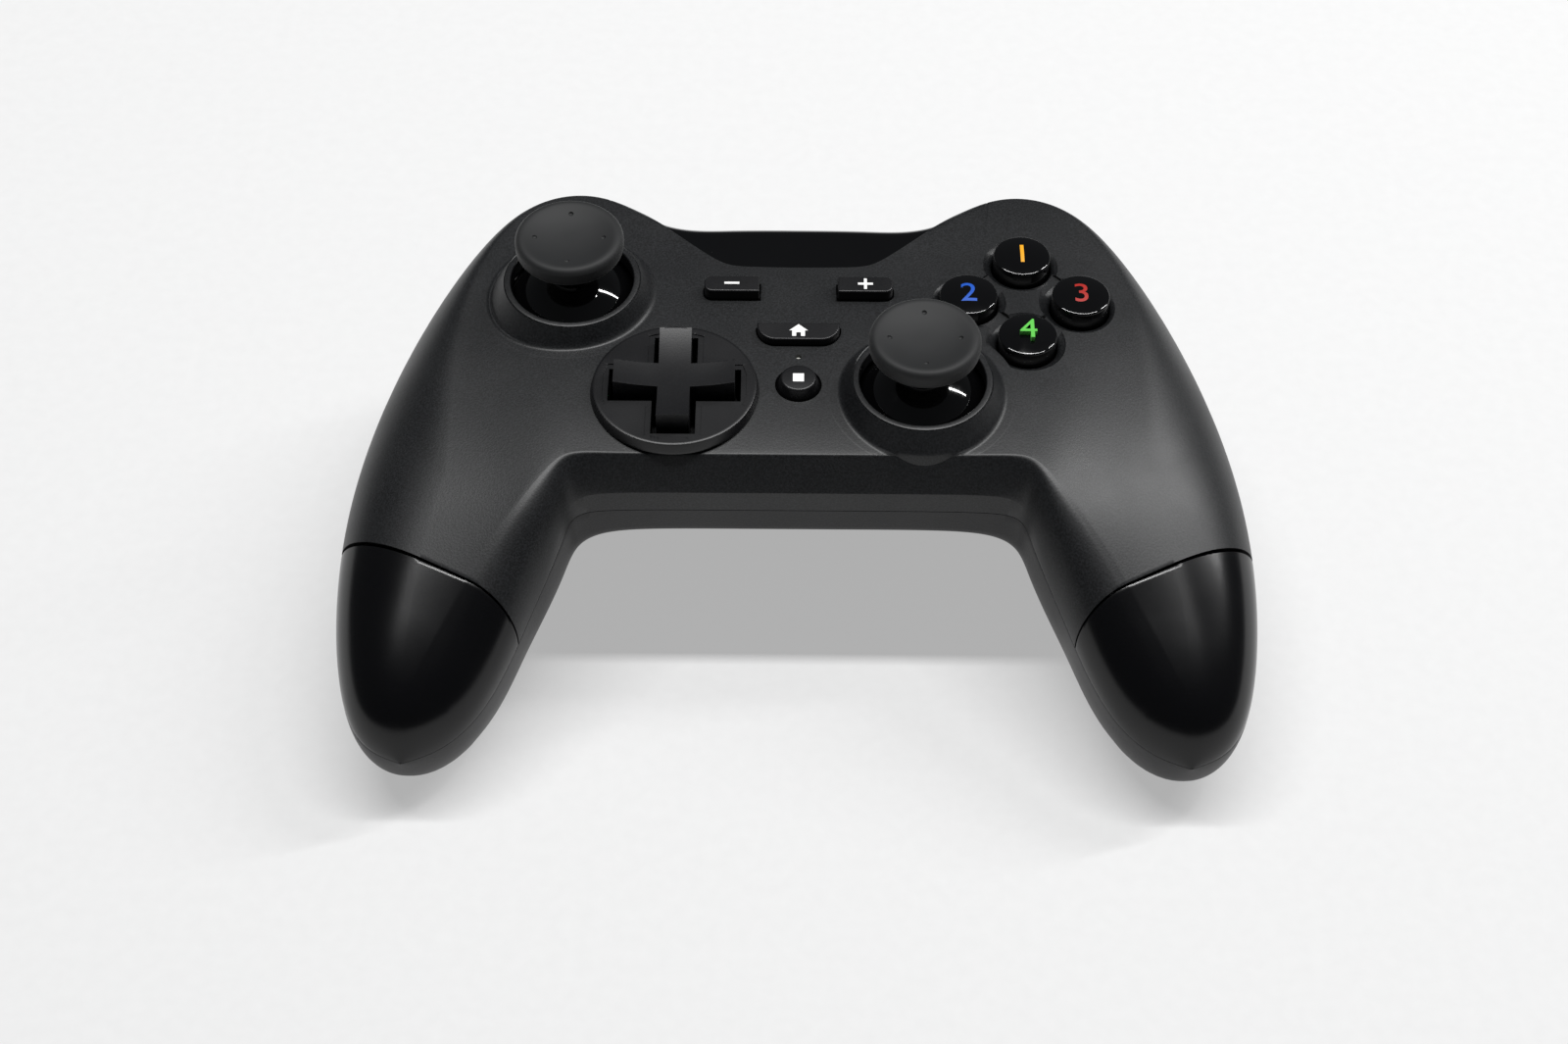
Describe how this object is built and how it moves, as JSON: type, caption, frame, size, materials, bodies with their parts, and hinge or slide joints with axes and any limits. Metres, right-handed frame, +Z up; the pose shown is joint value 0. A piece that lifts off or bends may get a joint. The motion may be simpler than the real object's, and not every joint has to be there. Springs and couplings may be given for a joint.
{
  "type": "game controller",
  "caption": "Hand held game controller with offset thumb sticks, a round direction pad, round face buttons, shoulder buttons and two drooping grips.",
  "frame": {"origin": "middle of the footprint, on the table under the controller", "axes": "+X to the right hand, +Y away from the player, +Z up"},
  "size_m": [0.1542, 0.1118, 0.056],
  "materials": {
    "top_shell": "fine spark texture, charcoal",
    "bottom_shell": "fine texture, black",
    "grip": "smooth soft touch coat, black",
    "gloss_black": "polished, black",
    "button_black": "polished, black",
    "pad_black": "satin, black",
    "stick_rubber": "matte, charcoal",
    "shoulder_black": "satin, black",
    "light_pipe": "frosted, clear",
    "mechanism": "natural moulded",
    "bracket": "moulded, black",
    "steel": "drawn",
    "board": "solder mask, green",
    "membrane": "moulded, grey",
    "chip": "moulded, black",
    "sensor": "moulded, green",
    "battery": "wrapped pouch, blue",
    "lead": "insulation, red",
    "motor": "plated"
  },
  "bodies": {
    "chassis": {"top_shell": "top_shell", "bottom_shell": "bottom_shell", "left_grip_cap": "grip", "right_grip_cap": "grip", "bridge_panel": "gloss_black", "dpad_bezel": "pad_black", "status_light_pipe": "light_pipe", "left_stick_base": "steel", "right_stick_base": "steel", "stick_sensors": "sensor", "stick_click_switches": "chip", "dpad_support": "bracket", "dpad_membrane": "membrane", "face_membrane": "membrane", "centre_membrane": "membrane", "left_trigger_pin": "steel", "right_trigger_pin": "steel", "left_trigger_spring": "steel", "right_trigger_spring": "steel", "left_shoulder_bracket": "bracket", "right_shoulder_bracket": "bracket", "bumper_switches": "chip", "trigger_switches": "chip", "main_board": "board", "main_chip": "chip", "status_lamp": "light_pipe", "charging_socket": "steel", "battery": "battery", "battery_leads": "lead", "left_rumble_motor": "motor", "right_rumble_motor": "motor", "motor_leads": "lead", "case_screws": "steel", "board_screws": "steel"},
    "left_yoke": {"left_stick_yoke": "mechanism"},
    "left_rocker": {"left_stick_rocker": "mechanism"},
    "left_cap": {"left_stick_cap": "stick_rubber", "left_stick_dome": "gloss_black"},
    "right_yoke": {"right_stick_yoke": "mechanism"},
    "right_rocker": {"right_stick_rocker": "mechanism"},
    "right_cap": {"right_stick_cap": "stick_rubber", "right_stick_dome": "gloss_black"},
    "pad_spider": {"dpad_spider": "mechanism"},
    "pad_cross": {"dpad_cross": "pad_black"},
    "button_top": {"face_button_top": "button_black"},
    "button_left": {"face_button_left": "button_black"},
    "button_right": {"face_button_right": "button_black"},
    "button_bottom": {"face_button_bottom": "button_black"},
    "minus": {"minus_button": "button_black"},
    "plus": {"plus_button": "button_black"},
    "home": {"home_button": "button_black"},
    "capture": {"capture_button": "button_black"},
    "bumper_l": {"left_bumper": "shoulder_black"},
    "bumper_r": {"right_bumper": "shoulder_black"},
    "trigger_l": {"left_trigger": "shoulder_black"},
    "trigger_r": {"right_trigger": "shoulder_black"},
    "weight_l": {"left_rumble_weight": "motor"},
    "weight_r": {"right_rumble_weight": "motor"}
  },
  "joints": [
    {"name": "left_stick_tilt_fore", "type": "hinge", "parent": "chassis", "child": "left_yoke", "pos_m": [-0.0392, 0.0235, 0.034], "axis": [1, 0, 0], "range_deg": [-14, 14], "stiffness_Nm_per_rad": 0.06},
    {"name": "left_stick_tilt_side", "type": "hinge", "parent": "left_yoke", "child": "left_rocker", "pos_m": [-0.0392, 0.0235, 0.034], "axis": [0, 1, 0], "range_deg": [-14, 14], "stiffness_Nm_per_rad": 0.06},
    {"name": "left_stick_click", "type": "slide", "parent": "left_rocker", "child": "left_cap", "axis": [0, 0, -1], "range_m": [0, 0.0005], "stiffness_N_per_m": 4000},
    {"name": "right_stick_tilt_fore", "type": "hinge", "parent": "chassis", "child": "right_yoke", "pos_m": [0.0208, 0, 0.034], "axis": [1, 0, 0], "range_deg": [-14, 14], "stiffness_Nm_per_rad": 0.06},
    {"name": "right_stick_tilt_side", "type": "hinge", "parent": "right_yoke", "child": "right_rocker", "pos_m": [0.0208, 0, 0.034], "axis": [0, 1, 0], "range_deg": [-14, 14], "stiffness_Nm_per_rad": 0.06},
    {"name": "right_stick_click", "type": "slide", "parent": "right_rocker", "child": "right_cap", "axis": [0, 0, -1], "range_m": [0, 0.0005], "stiffness_N_per_m": 4000},
    {"name": "pad_rock_side", "type": "hinge", "parent": "chassis", "child": "pad_spider", "pos_m": [-0.0208, 0, 0.0345], "axis": [0, 1, 0], "range_deg": [-4.5, 4.5], "stiffness_Nm_per_rad": 0.25},
    {"name": "pad_rock_fore", "type": "hinge", "parent": "pad_spider", "child": "pad_cross", "pos_m": [-0.0208, 0, 0.0345], "axis": [1, 0, 0], "range_deg": [-4.5, 4.5], "stiffness_Nm_per_rad": 0.25},
    {"name": "press_top", "type": "slide", "parent": "chassis", "child": "button_top", "axis": [0, 0, -1], "range_m": [0, 0.0016], "stiffness_N_per_m": 600},
    {"name": "press_left", "type": "slide", "parent": "chassis", "child": "button_left", "axis": [0, 0, -1], "range_m": [0, 0.0016], "stiffness_N_per_m": 600},
    {"name": "press_right", "type": "slide", "parent": "chassis", "child": "button_right", "axis": [0, 0, -1], "range_m": [0, 0.0016], "stiffness_N_per_m": 600},
    {"name": "press_bottom", "type": "slide", "parent": "chassis", "child": "button_bottom", "axis": [0, 0, -1], "range_m": [0, 0.0016], "stiffness_N_per_m": 600},
    {"name": "press_minus", "type": "slide", "parent": "chassis", "child": "minus", "axis": [0, 0, -1], "range_m": [0, 0.0008], "stiffness_N_per_m": 1500},
    {"name": "press_plus", "type": "slide", "parent": "chassis", "child": "plus", "axis": [0, 0, -1], "range_m": [0, 0.0008], "stiffness_N_per_m": 1500},
    {"name": "press_home", "type": "slide", "parent": "chassis", "child": "home", "axis": [0, 0, -1], "range_m": [0, 0.0008], "stiffness_N_per_m": 1500},
    {"name": "press_capture", "type": "slide", "parent": "chassis", "child": "capture", "axis": [0, 0, -1], "range_m": [0, 0.0008], "stiffness_N_per_m": 1500},
    {"name": "bumper_l_press", "type": "hinge", "parent": "chassis", "child": "bumper_l", "pos_m": [-0.03056, 0.04778, 0.034], "axis": [0, 0, 1], "range_deg": [0, 3], "stiffness_Nm_per_rad": 0.6},
    {"name": "bumper_r_press", "type": "hinge", "parent": "chassis", "child": "bumper_r", "pos_m": [0.03056, 0.04778, 0.034], "axis": [0, 0, -1], "range_deg": [0, 3], "stiffness_Nm_per_rad": 0.6},
    {"name": "trigger_l_pull", "type": "hinge", "parent": "chassis", "child": "trigger_l", "pos_m": [-0.037, 0.0455, 0.024], "axis": [-1, 0, 0], "range_deg": [0, 14], "stiffness_Nm_per_rad": 0.2},
    {"name": "trigger_r_pull", "type": "hinge", "parent": "chassis", "child": "trigger_r", "pos_m": [0.037, 0.0455, 0.024], "axis": [-1, 0, 0], "range_deg": [0, 14], "stiffness_Nm_per_rad": 0.2},
    {"name": "weight_l_spin", "type": "hinge", "parent": "chassis", "child": "weight_l", "pos_m": [-0.062, -0.0275, 0.0155], "axis": [1, 0, 0], "continuous": true},
    {"name": "weight_r_spin", "type": "hinge", "parent": "chassis", "child": "weight_r", "pos_m": [0.062, -0.0275, 0.0155], "axis": [1, 0, 0], "continuous": true}
  ]
}
